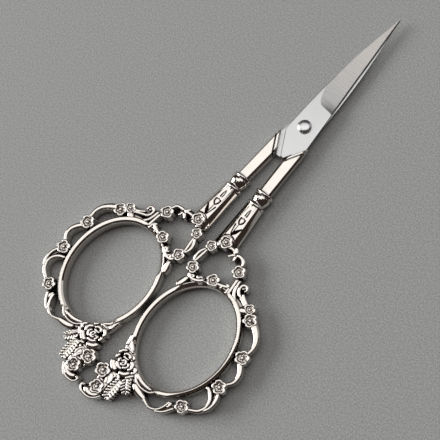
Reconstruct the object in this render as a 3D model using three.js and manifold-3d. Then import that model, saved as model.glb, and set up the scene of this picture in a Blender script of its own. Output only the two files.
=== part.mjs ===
// Embroidery scissors with cast floral handles, closed and lying flat.
// Millimetres, +Z up. +Y runs from the finger rings to the blade tips.
// The origin lies on the pivot axis, in the plane that the scissors rest on.
// Both halves are the same blade and casting: the left half is the right half turned over.

import * as THREE from 'three';
import { mergeVertices } from 'three/addons/utils/BufferGeometryUtils.js';
import Module from 'manifold-3d';

const wasm = await Module();
wasm.setup();

// Blade: a flat plate with a ground face on its outer side
const BLADE_REACH = 39.4;
const BLADE_THICKNESS = 0.9;
const BLADE_GAP = 0.1;
const SPINE_OFFSET = 3.75;
const EDGE_OFFSET = 4.4;
const TIP_OFFSET = 0.25;
const SPINE_BELLY = 1.5;
const HEEL_END = 10.1;
const HEEL_RELIEF = 4.84;
const GRIND_START = 6.9;
const GRIND_WIDTH = 5.7;
const GRIND_CORNER = 2.2;
const EDGE_THICKNESS = 0.25;

// Tang, cast into the shank
const TANG_WIDTH = 1.8;
const TANG_LENGTH = 9.5;
const TANG_KEY_RADIUS = 0.5;
const TANG_CLEARANCE = 0.1;

// Pivot rivet
const RIVET_RADIUS = 1.2;
const PIVOT_CLEARANCE = 0.06;
const RIVET_HEAD_RADIUS = 1.9;
const RIVET_HEAD_HEIGHT = 1.05;
const RIVET_HEAD_RIM = 0.15;
const RIVET_TAIL_RADIUS = 1.75;
const RIVET_TAIL_CHAMFER = 0.25;
const RIVET_END_PLAY = 0.05;
const RIVET_SIDES = 24;
const DOME_STEPS = 6;

// Steps in each curved stretch of a flat outline
const CURVE_STEPS = 12;

// Shank: a slanted shoulder at the blade, a slim bar, a turned collar and a tapered bar
const HANDLE_THICKNESS = 4.3;
const SHOULDER_DISTANCE = 6.2;
const SHOULDER_SLANT = 60;
const SHOULDER_RUN = 1.9;
const SHOULDER_LIP = 0.2;
const SHANK_OFFSET = 3.15;
const SHANK_SPREAD = 0.048;
const SHANK_WIDTH = 3.5;
const SHANK_THICKNESS = 2.9;
const SHANK_CHAMFER = 0.55;
const SHANK_CHAMFER_RISE = 0.38;
const SHANK_LENGTH = 13.3;
const COLLAR_LENGTH = 4.6;
const COLLAR_RADIUS = 2.15;
const COLLAR_WAIST_RADIUS = 1.65;
const COLLAR_BEAD = 0.2;
const COLLAR_BREADTH = 1.2;
const COLLAR_SIDES = 16;
const SOCKET_LENGTH = 13;
const SOCKET_SPREAD = 0.07;
const SOCKET_TOP_WIDTH = 4.2;
const SOCKET_END_WIDTH = 5.2;
const SOCKET_THICKNESS = 3.6;
const SOCKET_CHAMFER = 0.88;
const SOCKET_CHAMFER_RISE = 0.95;
const SOCKET_END_RUN = 2.6;
const SOCKET_END_DROP = 0.4;

// Finger ring
const RING_HALF_WIDTH = 12.4;
const RING_HALF_LENGTH = 15.6;
const RING_INNER_HALF = 0.95;
const RING_OUTER_HALF = 0.5;
const RING_BAND_EDGE = 0.3;
const RING_GAP = 1.05;
const RING_SEGMENTS = 36;
const WREATH_HEIGHT = 8.2;

// Relief heights below the handle's faces
const RING_DROP = 0.1;
const TWIG_DROP = 0.25;
const LEAF_DROP = 0.4;

// Blossoms
const BLOSSOM_RADIUS = 1.85;
const SMALL_BLOSSOM_RADIUS = 1.5;
const ROSE_RADIUS = 2.75;
const PETALS = 5;
const PETAL_POINTS = 3;
const PETAL_NOTCH = 0.77;
const BLOSSOM_RIM = 0.8;
const BLOSSOM_WELL = 0.5;
const BLOSSOM_DEPTH = 0.45;
const BLOSSOM_SEAT = 0.82;

// Stroke widths of the twigs
const SCALLOP_WIDTH = 1.25;
const SCALLOP_TIP_WIDTH = 0.8;
const STROKE_FLAT = 0.64;

const halfHeight = HANDLE_THICKNESS / 2;
const bladeBottom = BLADE_GAP / 2;
const bladeTop = bladeBottom + BLADE_THICKNESS;
const slant = THREE.MathUtils.degToRad(SHOULDER_SLANT);

// Colours of the finishes
const nickel = { color: 0xd9d4cc, roughness: 0.15, metalness: 1 };
const steel = { color: 0xc8c9cb, roughness: 0.35, metalness: 1 };

// Joins and cuts of closed meshes
function solid(geometry) {
  const bare = geometry.clone();
  bare.deleteAttribute('normal');
  bare.deleteAttribute('uv');
  const merged = mergeVertices(bare, 1e-5);
  return new wasm.Manifold(new wasm.Mesh({
    numProp: 3,
    vertProperties: new Float32Array(merged.attributes.position.array),
    triVerts: new Uint32Array(merged.index.array),
  }));
}

function geometryOf(body) {
  const mesh = body.getMesh();
  const geometry = new THREE.BufferGeometry();
  geometry.setAttribute('position', new THREE.BufferAttribute(mesh.vertProperties, 3));
  geometry.setIndex(new THREE.BufferAttribute(mesh.triVerts, 1));
  return geometry;
}

function joined(bodies) {
  return bodies.reduce((whole, body) => whole.add(body));
}

// A closed skin over rings of equally many points; with wrap, the last ring meets the first
function loft(rings, wrap = false) {
  const count = rings[0].length;
  const points = rings.flat();
  const faces = [];
  const spans = wrap ? rings.length : rings.length - 1;
  for (let i = 0; i < spans; i += 1) {
    const near = i * count;
    const far = ((i + 1) % rings.length) * count;
    for (let j = 0; j < count; j += 1) {
      const next = (j + 1) % count;
      faces.push(near + j, near + next, far + next);
      faces.push(near + j, far + next, far + j);
    }
  }
  if (!wrap) {
    const last = (rings.length - 1) * count;
    for (let j = 1; j < count - 1; j += 1) {
      faces.push(0, j + 1, j);
      faces.push(last, last + j, last + j + 1);
    }
  }
  const geometry = new THREE.BufferGeometry();
  const numbers = points.flatMap((p) => p.toArray());
  geometry.setAttribute('position', new THREE.Float32BufferAttribute(numbers, 3));
  geometry.setIndex(faces);
  return solid(geometry);
}

function plate(shape, bottom, top) {
  const extent = { depth: top - bottom, bevelEnabled: false, curveSegments: CURVE_STEPS };
  const geometry = new THREE.ExtrudeGeometry(shape, extent);
  geometry.translate(0, 0, bottom);
  return geometry;
}

// Lines at the heel, at a distance from the pivot and slanted across it
function heelX(distance, y) {
  return (distance - Math.cos(slant) * -y) / Math.sin(slant);
}

function heelY(distance, x) {
  return (Math.sin(slant) * x - distance) / Math.cos(slant);
}

// Centre line of the shank bar, leaning outwards towards the collar
const shoulderY = heelY(SHOULDER_DISTANCE, SHANK_OFFSET);
const collarY = shoulderY - SHANK_LENGTH;
const socketY = collarY - COLLAR_LENGTH;
const socketEndY = socketY - SOCKET_LENGTH;

function shankX(y) {
  return SHANK_OFFSET + SHANK_SPREAD * (shoulderY - y);
}

const socketX = shankX(socketY);
const socketEndX = socketX + SOCKET_SPREAD * SOCKET_LENGTH;

// The tang's outline, or the pocket around it when it is grown by a clearance
function tangShape(grown) {
  const top = shoulderY + TANG_WIDTH;
  const end = shoulderY - TANG_LENGTH - grown;
  const half = TANG_WIDTH / 2 + grown;
  return new THREE.Shape([
    new THREE.Vector2(shankX(top) - half, top),
    new THREE.Vector2(shankX(end) - half, end),
    new THREE.Vector2(shankX(end) + half, end),
    new THREE.Vector2(shankX(top) + half, top),
  ]);
}

function tangKey(radius, bottom, top) {
  const y = shoulderY - TANG_LENGTH + TANG_WIDTH;
  const shape = new THREE.Shape().absarc(shankX(y), y, radius, 0, 2 * Math.PI);
  return solid(plate(shape, bottom, top));
}

// Blade plate: spine on the left, cutting edge on the right, heel cut on two slants
function bladeOutline() {
  const spineHeel = heelY(HEEL_RELIEF, SPINE_OFFSET);
  const seat = SHOULDER_DISTANCE - TANG_CLEARANCE;
  const middle = BLADE_REACH / 2;
  const shape = new THREE.Shape();
  shape.moveTo(-SPINE_OFFSET, spineHeel);
  shape.lineTo(-heelX(HEEL_RELIEF, -HEEL_END), -HEEL_END);
  shape.lineTo(heelX(seat, -HEEL_END), -HEEL_END);
  shape.lineTo(EDGE_OFFSET, heelY(seat, EDGE_OFFSET));
  shape.lineTo(TIP_OFFSET, BLADE_REACH);
  shape.quadraticCurveTo((TIP_OFFSET - SPINE_OFFSET) / 2 - SPINE_BELLY, middle, -SPINE_OFFSET, spineHeel);
  const bore = new THREE.Path();
  bore.absarc(0, 0, RIVET_RADIUS + PIVOT_CLEARANCE, 0, 2 * Math.PI, true);
  shape.holes.push(bore);
  return shape;
}

// The space that grinding takes away: its floor rises from the cutting edge towards the spine
function grindSpace() {
  const beyond = SPINE_OFFSET + EDGE_OFFSET;
  const corner = EDGE_OFFSET - GRIND_WIDTH + GRIND_CORNER / 4;
  const shape = new THREE.Shape();
  shape.moveTo(beyond, GRIND_START);
  shape.lineTo(corner + GRIND_CORNER / 2, GRIND_START);
  const side = corner - GRIND_CORNER / 2;
  shape.quadraticCurveTo(side, GRIND_START, side, GRIND_START + GRIND_CORNER);
  shape.lineTo(-beyond, GRIND_START + beyond);
  shape.lineTo(-beyond, BLADE_REACH + beyond);
  shape.lineTo(beyond, BLADE_REACH + beyond);
  const geometry = plate(shape, 0, BLADE_REACH);
  const rise = (BLADE_THICKNESS - EDGE_THICKNESS) / GRIND_WIDTH;
  const taper = (EDGE_OFFSET - TIP_OFFSET) / BLADE_REACH;
  const floor = bladeBottom + EDGE_THICKNESS + rise * EDGE_OFFSET;
  geometry.applyMatrix4(new THREE.Matrix4().set(
    1, 0, 0, 0,
    0, 1, 0, 0,
    -rise, -rise * taper, 1, floor,
    0, 0, 0, 1,
  ));
  return solid(geometry);
}

function blade() {
  const body = solid(plate(bladeOutline(), bladeBottom, bladeTop)).subtract(grindSpace());
  const tang = solid(plate(tangShape(0), bladeBottom, bladeTop));
  return body.add(tang).subtract(tangKey(TANG_KEY_RADIUS, bladeBottom - 1, bladeTop + 1));
}

// A bar's section with chamfered corners, on a plane that may slant across the bar
function barSection(x, y, width, height, chamfer, rise, slope = 0) {
  const half = width / 2;
  const side = height - rise;
  const outline = [
    [half, -side], [half, side], [half - chamfer, height], [chamfer - half, height],
    [-half, side], [-half, -side], [chamfer - half, -height], [half - chamfer, -height],
  ];
  return outline.map(([across, up]) => new THREE.Vector3(x + across, y + across * slope, up));
}

function shank() {
  const slope = Math.tan(slant);
  const lip = bladeTop + SHOULDER_LIP;
  const top = SHANK_THICKNESS / 2;
  const bar = [[0, lip], [SHOULDER_RUN / 2, (2 * lip + top) / 3], [SHOULDER_RUN, top]];
  const sections = bar.map(([run, height]) => {
    const y = shoulderY - run;
    return barSection(shankX(y), y, SHANK_WIDTH, height, SHANK_CHAMFER, SHANK_CHAMFER_RISE, slope);
  });
  const end = collarY - COLLAR_LENGTH / 4;
  sections.push(barSection(shankX(end), end, SHANK_WIDTH, top, SHANK_CHAMFER, SHANK_CHAMFER_RISE));
  return loft(sections);
}

function collar() {
  const bead = COLLAR_RADIUS - COLLAR_BEAD;
  const profile = [
    [0, 0], [bead, 0], [COLLAR_RADIUS, 0.12], [COLLAR_RADIUS, 0.25], [bead, 0.4],
    [COLLAR_WAIST_RADIUS, 0.7], [COLLAR_RADIUS, 0.86], [COLLAR_RADIUS, 0.94], [bead, 1], [0, 1],
  ].map(([radius, share]) => new THREE.Vector2(radius, collarY - share * COLLAR_LENGTH));
  const geometry = new THREE.LatheGeometry(profile.reverse(), COLLAR_SIDES);
  geometry.scale(COLLAR_BREADTH, 1, 1);
  geometry.translate(shankX(collarY - COLLAR_LENGTH / 2), 0, 0);
  return solid(geometry);
}

function socket() {
  const runX = socketEndX - SOCKET_SPREAD * SOCKET_END_RUN;
  const runWidth = THREE.MathUtils.lerp(SOCKET_END_WIDTH, SOCKET_TOP_WIDTH, SOCKET_END_RUN / SOCKET_LENGTH);
  const top = SOCKET_THICKNESS / 2;
  const places = [
    [socketX, socketY + COLLAR_LENGTH / 4, SOCKET_TOP_WIDTH, top],
    [runX, socketEndY + SOCKET_END_RUN, runWidth, top],
    [socketEndX, socketEndY, SOCKET_END_WIDTH, top - SOCKET_END_DROP],
  ];
  return loft(places.map((place) => barSection(...place, SOCKET_CHAMFER, SOCKET_CHAMFER_RISE)));
}

// Finger ring: an ellipse beside the closing line, hung below the wreath
const ringX = RING_GAP / 2 + RING_OUTER_HALF + RING_HALF_WIDTH;
const ringY = socketEndY - WREATH_HEIGHT - RING_HALF_LENGTH;

// A point at an angle round the ring, standing off its centre line
function byRing(degrees, standoff = 0) {
  const angle = THREE.MathUtils.degToRad(degrees);
  const c = Math.cos(angle);
  const s = Math.sin(angle);
  const normal = new THREE.Vector2(c / RING_HALF_WIDTH, s / RING_HALF_LENGTH).normalize();
  const onRing = new THREE.Vector2(ringX + RING_HALF_WIDTH * c, ringY + RING_HALF_LENGTH * s);
  return onRing.addScaledVector(normal, standoff);
}

function ring() {
  const height = halfHeight - RING_DROP;
  const side = height - RING_BAND_EDGE;
  const outer = RING_OUTER_HALF;
  const inner = -RING_INNER_HALF;
  const section = [
    [outer, -side], [outer, side], [outer - RING_BAND_EDGE, height], [inner + RING_BAND_EDGE, height],
    [inner, side], [inner, -side], [inner + RING_BAND_EDGE, -height], [outer - RING_BAND_EDGE, -height],
  ];
  const rings = [];
  for (let i = 0; i < RING_SEGMENTS; i += 1) {
    const degrees = (-360 * i) / RING_SEGMENTS;
    rings.push(section.map(([out, up]) => {
      const p = byRing(degrees, out);
      return new THREE.Vector3(p.x, p.y, up);
    }));
  }
  return loft(rings, true);
}

// A flat twig along a smooth curve, widest at its middle height as a casting is
function twig(points, widths, drop = TWIG_DROP, steps = 6) {
  const curve = new THREE.SplineCurve(points);
  const height = halfHeight - drop;
  const flat = STROKE_FLAT / 2;
  const sections = [];
  for (let i = 0; i <= steps; i += 1) {
    const t = i / steps;
    const at = curve.getPoint(t);
    const along = curve.getTangent(t);
    const place = t * (widths.length - 1);
    const k = Math.min(Math.floor(place), widths.length - 2);
    const width = THREE.MathUtils.lerp(widths[k], widths[k + 1], place - k);
    const outline = [[0.5, 0], [flat, -1], [-flat, -1], [-0.5, 0], [-flat, 1], [flat, 1]];
    sections.push(outline.map(([across, up]) => new THREE.Vector3(
      at.x + along.y * across * width,
      at.y - along.x * across * width,
      up * height,
    )));
  }
  return loft(sections);
}

// A scallop bows outwards from one blossom to the next
function scallop(from, to, bulge, widths) {
  const chord = to.clone().sub(from).normalize();
  const outward = new THREE.Vector2(-chord.y, chord.x);
  const crest = from.clone().lerp(to, 0.5).addScaledVector(outward, bulge * 2);
  const arc = new THREE.QuadraticBezierCurve(from, crest, to);
  return twig(arc.getPoints(4), widths, TWIG_DROP, 6);
}

// A serrated leaf from its stalk to its tip
function leaf(from, to, width, teeth) {
  const widths = [];
  for (let i = 0; i <= teeth * 2; i += 1) {
    const t = i / (teeth * 2);
    const swell = 0.25 + 0.75 * Math.sin(Math.PI * (0.15 + 0.8 * t));
    widths.push(width * swell * (i % 2 ? 1 : 0.72));
  }
  return twig([from, to], widths, LEAF_DROP, teeth * 2);
}

// A five-petalled blossom right through the handle, with a raised rim round a well on both faces
function blossom(centre, radius, turn = 90) {
  const across = PETALS * PETAL_POINTS;
  const well = halfHeight - BLOSSOM_DEPTH;
  const levels = [
    [BLOSSOM_WELL, well], [BLOSSOM_RIM, halfHeight], [1, halfHeight - RING_DROP],
    [1, RING_DROP - halfHeight], [BLOSSOM_RIM, -halfHeight], [BLOSSOM_WELL, -well],
  ];
  return loft(levels.map(([share, up]) => {
    const points = [];
    for (let i = 0; i < across; i += 1) {
      const angle = THREE.MathUtils.degToRad(turn) - (2 * Math.PI * i) / across;
      const lobe = i % PETAL_POINTS ? 1 : PETAL_NOTCH;
      const r = radius * share * lobe;
      points.push(new THREE.Vector3(centre.x + r * Math.cos(angle), centre.y + r * Math.sin(angle), up));
    }
    return points;
  }));
}

function offset(point, x, y) {
  return new THREE.Vector2(point.x + x, point.y + y);
}

// Blossoms on the shank's end, round the wreath and along the ring's outer side
const socketEnd = new THREE.Vector2(socketEndX, socketEndY);
const shankBlossom = offset(socketEnd, 0, 1.25);
const crownBlossom = offset(socketEnd, -2.25, -1.9);
const wreathBlossom = byRing(92, 5.7);
const topBlossom = byRing(109.5, 1.1);
const innerBlossom = byRing(130, 4);
const shoulderBud = byRing(60.5, 2.7);
const edgeBlossoms = [51, 18.5, 348.5, 313.5].map((degrees) => byRing(degrees, 2.5));
const rose = byRing(236.5, 1.8);
const tailBlossoms = [offset(rose, -2.4, -5.1), offset(rose, -1.05, -9.2)];

function blossoms() {
  const large = [shankBlossom, wreathBlossom, topBlossom, innerBlossom, ...edgeBlossoms, ...tailBlossoms];
  return [
    ...large.map((centre, i) => blossom(centre, BLOSSOM_RADIUS, 90 + 17 * i)),
    blossom(crownBlossom, SMALL_BLOSSOM_RADIUS),
    blossom(shoulderBud, SMALL_BLOSSOM_RADIUS, 60),
    blossom(rose, ROSE_RADIUS, 40),
  ];
}

// A point under a blossom's rim, on the side of another point
function rim(centre, towards, radius = BLOSSOM_RADIUS) {
  const side = offset(towards, -centre.x, -centre.y).normalize();
  return centre.clone().addScaledVector(side, radius * BLOSSOM_SEAT);
}

// Leaves and twigs that close the wreath between shank and ring
function wreath() {
  const star = byRing(100, 8.9);
  const sprig = byRing(88, 1.2);
  const curl = byRing(79.5, 3.6);
  const dip = byRing(122, 0.4);
  const side = crownBlossom.clone().lerp(innerBlossom, 0.5).setX(crownBlossom.x - 1);
  const bud = (towards) => rim(shoulderBud, towards, SMALL_BLOSSOM_RADIUS);
  const crown = (towards) => rim(crownBlossom, towards, SMALL_BLOSSOM_RADIUS);
  const spiral = [[0.7, -0.4], [0.4, 0.7], [-0.8, 0.3], [-0.2, -1.6]].map(([x, y]) => offset(curl, x, y));
  const strand = [offset(curl, -1.9, 0.7), offset(curl, -1.7, -1.4)];
  return [
    twig([rim(shankBlossom, star), star], [1, 1.2], TWIG_DROP, 2),
    twig([offset(star, -0.9, 1.2), star, offset(star, 0.2, -1.4)], [0.6, 1.2, 0.6], TWIG_DROP, 2),
    twig([star, offset(star, 1.9, 0.1), rim(wreathBlossom, star)], [1.1, 0.8, 0.8], TWIG_DROP, 4),
    twig([crown(side), side, rim(innerBlossom, side)], [1, 1.7, 1], TWIG_DROP, 4),
    twig([rim(shankBlossom, crownBlossom), crown(shankBlossom)], [1.4, 1.4], TWIG_DROP, 1),
    twig([rim(innerBlossom, byRing(135)), dip, rim(topBlossom, dip)], [1.6, 1.3, 1], TWIG_DROP, 4),
    twig([rim(innerBlossom, byRing(150)), byRing(140), byRing(152)], [1.8, 1.7, 1.2], TWIG_DROP, 4),
    twig([rim(wreathBlossom, sprig), sprig, byRing(86)], [1.2, 1.1, 1.4], TWIG_DROP, 3),
    twig([rim(topBlossom, sprig), sprig, byRing(80, 0.4), byRing(72)], [1, 1.3, 1.4, 1], TWIG_DROP, 4),
    twig([...spiral, bud(curl)], [0.6, 0.8, 0.9, 1, 0.9], TWIG_DROP, 8),
    twig([...strand, byRing(74, 0.3), byRing(68)], [0.7, 0.9, 1, 1], TWIG_DROP, 5),
    twig([bud(byRing(60)), byRing(60)], [1.6, 2], TWIG_DROP, 1),
  ];
}

// Scallops along the outer side, the last two with a second strand
function scallops() {
  const [first, second, third, fourth] = edgeBlossoms;
  const tail = byRing(264.5, 1.6);
  const wide = [SCALLOP_WIDTH * 1.25, SCALLOP_WIDTH, SCALLOP_TIP_WIDTH];
  const slim = [SCALLOP_TIP_WIDTH, SCALLOP_TIP_WIDTH, SCALLOP_TIP_WIDTH];
  return [
    scallop(rim(first, byRing(38, 4)), rim(second, byRing(30, 5)), 1.7, wide),
    scallop(rim(second, byRing(8, 5)), rim(third, byRing(0, 4)), 1.3, wide),
    scallop(rim(third, byRing(335, 6)), rim(fourth, byRing(322, 5)), 1.9, wide),
    scallop(rim(fourth, byRing(302, 6)), tail, 2.4, wide),
    scallop(byRing(340, 0.4), rim(fourth, byRing(325, 4)), 2.5, slim),
    scallop(byRing(306, 0.4), byRing(272, 2.2), 2.4, slim),
    twig([byRing(286), byRing(278, 0.9), byRing(264, 0.9), byRing(250)], [0.7, 1, 1.1, 0.9], TWIG_DROP, 5),
  ];
}

// Bouquet at the tail: body, fern leaves and a crescent scroll under it
function bouquet() {
  const [upper, lower] = tailBlossoms;
  const bead = offset(lower, -2.8, -1.6);
  const scroll = [[0.4, -1.3], [2.2, -1.6], [4.6, -0.5], [5.6, 0.9]].map(([x, y]) => offset(bead, x, y));
  return [
    twig([byRing(216), byRing(224, 0.4)], [1.4, 2.6], TWIG_DROP, 1),
    twig([rim(rose, lower), offset(lower, 0.9, 3.2), rim(lower, rose)], [4.4, 4.4, 2.6], LEAF_DROP, 3),
    twig([rim(rose, byRing(256), ROSE_RADIUS), byRing(256)], [2.6, 1.6], TWIG_DROP, 1),
    leaf(offset(rose, 2.1, -2.2), offset(rose, 2.4, -10.2), 3, 5),
    leaf(offset(rose, 2.2, -1.2), offset(rose, 6.2, -6.1), 2.3, 4),
    twig([bead, ...scroll], [1.1, 0.9, 1, 1, 0.8], TWIG_DROP, 7),
    twig([rim(upper, lower), rim(lower, upper)], [2, 2], LEAF_DROP, 1),
    twig([rim(lower, bead), offset(bead, 2.4, -1.4)], [2, 1.4], LEAF_DROP, 1),
  ];
}

function handle() {
  const casting = joined([
    shank(), collar(), socket(), ring(), ...wreath(), ...scallops(), ...bouquet(), ...blossoms(),
  ]);
  const floor = bladeBottom - TANG_CLEARANCE;
  const roof = bladeTop + TANG_CLEARANCE;
  const pocket = solid(plate(tangShape(TANG_CLEARANCE), floor, roof));
  const key = tangKey(TANG_KEY_RADIUS - TANG_CLEARANCE, bladeBottom - 1, bladeTop + 1);
  return casting.subtract(pocket.subtract(key));
}

// Rivet: domed head on the upper blade, flat peened tail under the lower blade
function rivet() {
  const tailTop = -bladeTop - RIVET_END_PLAY;
  const profile = [
    [0, -halfHeight], [RIVET_TAIL_RADIUS - RIVET_TAIL_CHAMFER, -halfHeight],
    [RIVET_TAIL_RADIUS, RIVET_TAIL_CHAMFER - halfHeight], [RIVET_TAIL_RADIUS, tailTop],
    [RIVET_RADIUS, tailTop], [RIVET_RADIUS, bladeTop], [RIVET_HEAD_RADIUS, bladeTop],
  ];
  const shoulder = bladeTop + RIVET_HEAD_RIM;
  const domeHeight = RIVET_HEAD_HEIGHT - RIVET_HEAD_RIM;
  for (let i = 0; i < DOME_STEPS; i += 1) {
    const angle = (i / DOME_STEPS) * Math.PI / 2;
    profile.push([RIVET_HEAD_RADIUS * Math.cos(angle), shoulder + domeHeight * Math.sin(angle)]);
  }
  profile.push([0, shoulder + domeHeight]);
  const geometry = new THREE.LatheGeometry(profile.map(([r, z]) => new THREE.Vector2(r, z)), RIVET_SIDES);
  geometry.rotateX(Math.PI / 2);
  return solid(geometry);
}

function named(name, body, finish) {
  const mesh = new THREE.Mesh(geometryOf(body), new THREE.MeshStandardMaterial(finish));
  mesh.name = name;
  return mesh;
}

const bladeBody = blade();
const handleBody = handle();

const rightHalf = new THREE.Group();
rightHalf.add(named('upper_blade', bladeBody, steel));
rightHalf.add(named('right_handle', handleBody, nickel));
rightHalf.add(named('pivot_rivet', rivet(), nickel));

const leftHalf = new THREE.Group();
leftHalf.rotation.y = Math.PI;
leftHalf.add(named('lower_blade', bladeBody, steel));
leftHalf.add(named('left_handle', handleBody, nickel));

const scissors = new THREE.Group();
scissors.position.z = halfHeight;
scissors.add(rightHalf, leftHalf);

export default scissors;
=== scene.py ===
"""Looks of the embroidery scissors: cast floral handles, ground blades and a domed rivet.

Shapes are written in millimetres for the right half, with heights measured from the middle
plane of the handles. The left half is the right half turned over about the Y axis.
"""

import math

import bmesh
import bpy
import numpy as np
from mathutils import Matrix, Vector


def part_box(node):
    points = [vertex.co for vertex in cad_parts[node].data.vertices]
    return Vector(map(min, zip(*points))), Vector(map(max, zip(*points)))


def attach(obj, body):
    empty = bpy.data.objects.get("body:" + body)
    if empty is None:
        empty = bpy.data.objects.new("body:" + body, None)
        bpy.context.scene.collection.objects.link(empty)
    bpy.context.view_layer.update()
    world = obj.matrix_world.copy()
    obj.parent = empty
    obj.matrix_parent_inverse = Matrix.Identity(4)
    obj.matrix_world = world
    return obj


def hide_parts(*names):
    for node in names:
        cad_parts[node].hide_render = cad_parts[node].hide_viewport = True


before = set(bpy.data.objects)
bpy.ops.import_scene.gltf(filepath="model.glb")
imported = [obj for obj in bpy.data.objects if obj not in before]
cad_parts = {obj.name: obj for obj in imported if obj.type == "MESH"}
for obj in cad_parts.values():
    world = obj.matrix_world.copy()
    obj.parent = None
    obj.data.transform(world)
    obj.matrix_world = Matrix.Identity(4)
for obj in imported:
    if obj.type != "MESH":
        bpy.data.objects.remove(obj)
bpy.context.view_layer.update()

MM = 0.001
handle_low, handle_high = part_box("right_handle")
HALF = (handle_high.z - handle_low.z) / 2 / MM
MIDDLE = (handle_high.z + handle_low.z) / 2

# Blade
BLADE_BOTTOM = 0.05
BLADE_TOP = 0.95
BLADE_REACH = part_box("upper_blade")[1].y / MM
SPINE_OFFSET = 3.75
EDGE_OFFSET = 4.4
TIP_OFFSET = 0.25
SPINE_BELLY = 1.9
HEEL_END = 10.1
HEEL_RELIEF = 4.84
BLADE_CHAMFER = 0.18
BLADE_BREAK = 0.15
TIP_TAPER = 4
BLADE_STEPS = 60
GRIND_START = 6.85
GRIND_LEAN = 0.11
GRIND_RUN = 3.4
GRIND_RISE = 0.1
GRIND_CURL = 0.55
GRIND_CURL_X = -0.3
GRIND_LEAD = 0.6
GRIND_CLEAR = 0.5
GRIND_SKIM = 0.02
GRIND_WARM = 27
EDGE_THICKNESS = 0.2
HONED_WIDTH = 0.32
HONED_DIP = 0.03
HONED_RISE = 0.5
TANG_WIDTH = 1.8
TANG_LENGTH = 9.5
TANG_CLEARANCE = 0.1

# Rivet
RIVET_RADIUS = 1.2
RIVET_BORE = 1.26
RIVET_HEAD_RADIUS = 1.9
RIVET_HEAD_RIM = 0.15
RIVET_HEAD_HEIGHT = 1.05
RIVET_HEAD_FULLNESS = 2.9
RIVET_TAIL_RADIUS = 1.75
RIVET_TAIL_CHAMFER = 0.25
RIVET_END_PLAY = 0.05
RIVET_SEAT_GAP = 0.01
RIVET_HEAD_BREAK = 0.04
RIVET_SIDES = 72
DOME_STEPS = 28
DOME_SHARE = 0.97
BORE_SIDES = 48

# Shank, collar and socket
SHOULDER_DISTANCE = 6.2
SHOULDER_SLANT = math.radians(60)
SHANK_OFFSET = 3.15
SHANK_SPREAD = 0.048
SHANK_WIDTH = 3.5
SHANK_CHAMFER = 0.55
SHANK_CHAMFER_RISE = 0.6
SHANK_HALF = 1.45
SHANK_LENGTH = 13.3
COLLAR_LENGTH = 4.6
COLLAR_FULLNESS = 2.1
COLLAR_BREADTH = 1.26
COLLAR_OVERLAP = 0.2
COLLAR_RINGS = 80
COLLAR_SIDES = 64
SOCKET_LENGTH = 13
SOCKET_SPREAD = 0.07
SOCKET_TOP_WIDTH = 5.0
SOCKET_END_WIDTH = 6.5
SOCKET_CHAMFER_SHARE = 0.22
SOCKET_CHAMFER_RISE = 1.5
SOCKET_HALF = 1.8
SOCKET_END_RUN = 2.6
SOCKET_END_DROP = 0.4
SOCKET_EDGE_RADIUS = 0.5
BAR_EDGE_RADIUS = 0.12
CORNER_LIMIT = 0.45
CORNER_STEPS = 4

# Finger ring
RING_X = 13.425
RING_Y = -61.64
RING_HALF_WIDTH = 12.15
RING_HALF_LENGTH = 15.35
RING_FLAT_IN = 0.36
RING_FLAT_OUT = 0.37
RING_DROP = 0.05
RING_INNER_BEVEL = 0.55
RING_OUTER_BEVEL = 0.34
RING_COVERED_FLAT = 0.1
RING_WORN_SLOPE = 0.5
RING_WORN_START = -0.05
RING_WORN_FROM = 0.5
RING_WORN_RUN = 0.2
RING_COVERED = ((82, 152), (212, 289))
RING_LOW_DROP = 0.25
RING_LOW_RUN = 8
RING_STEPS = 240

# Relief of the handle: depth below its faces, and how much broader a kind of stroke is than drawn
TWIG_DROP = 0.12
TWIG_BREADTH = 1.22
LEAF_DROP = 0.25
LEAF_BREADTH = 1.35
ROSE_DROP = 0.05
ROSE_BREADTH = 1.75
BASE_DROP = 0.8
BOUQUET_DROP = 0.34

# Strokes: their crowned section, at shares of the half width, and their round ends
STROKE_STEP = 0.22
STROKE_SPREAD = np.array((-1, -0.93, -0.82, -0.66, -0.4, 0, 0.4, 0.66, 0.82, 0.93, 1))
STROKE_CROWN = 0.47
STROKE_CROWN_POWER = 4
CAP_STEPS = 5
CAP_START = 0.15
CAP_LIMIT = 0.45
CAP_SINK = 0.3
GROOVE_SIDES = 24
GROOVE_FULLNESS = 1.3

# Angles from which an edge is shaded sharp
SHARP_ANGLE = math.radians(50)
BLADE_SHARP_ANGLE = math.radians(4)


# Meshes

def new_mesh(name, points, faces):
    """A mesh from points and the faces between them."""
    mesh = bpy.data.meshes.new(name)
    mesh.from_pydata([tuple(p) for p in points], [], faces)
    mesh.update()
    return mesh


def skin(rings, name, looped=False):
    """A closed mesh over rings of equally many points, capped at both ends or looped round."""
    rings = np.asarray(rings, float)
    count, sides = rings.shape[:2]
    faces = []
    for i in range(count if looped else count - 1):
        n = (i + 1) % count
        for j in range(sides):
            k = (j + 1) % sides
            faces.append((i * sides + j, i * sides + k, n * sides + k, n * sides + j))
    if not looped:
        last = (count - 1) * sides
        faces.append(tuple(range(sides - 1, -1, -1)))
        faces.append(tuple(range(last, last + sides)))
    points = rings.reshape(-1, 3)
    return new_mesh(name, points, outward(points, faces))


def outward(points, faces):
    """The faces, turned round if they enclose a negative volume."""
    volume = 0.0
    for face in faces:
        a = points[face[0]]
        for b, c in zip(face[1:-1], face[2:]):
            volume += np.dot(a, np.cross(points[b], points[c]))
    return faces if volume > 0 else [tuple(reversed(f)) for f in faces]


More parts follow.
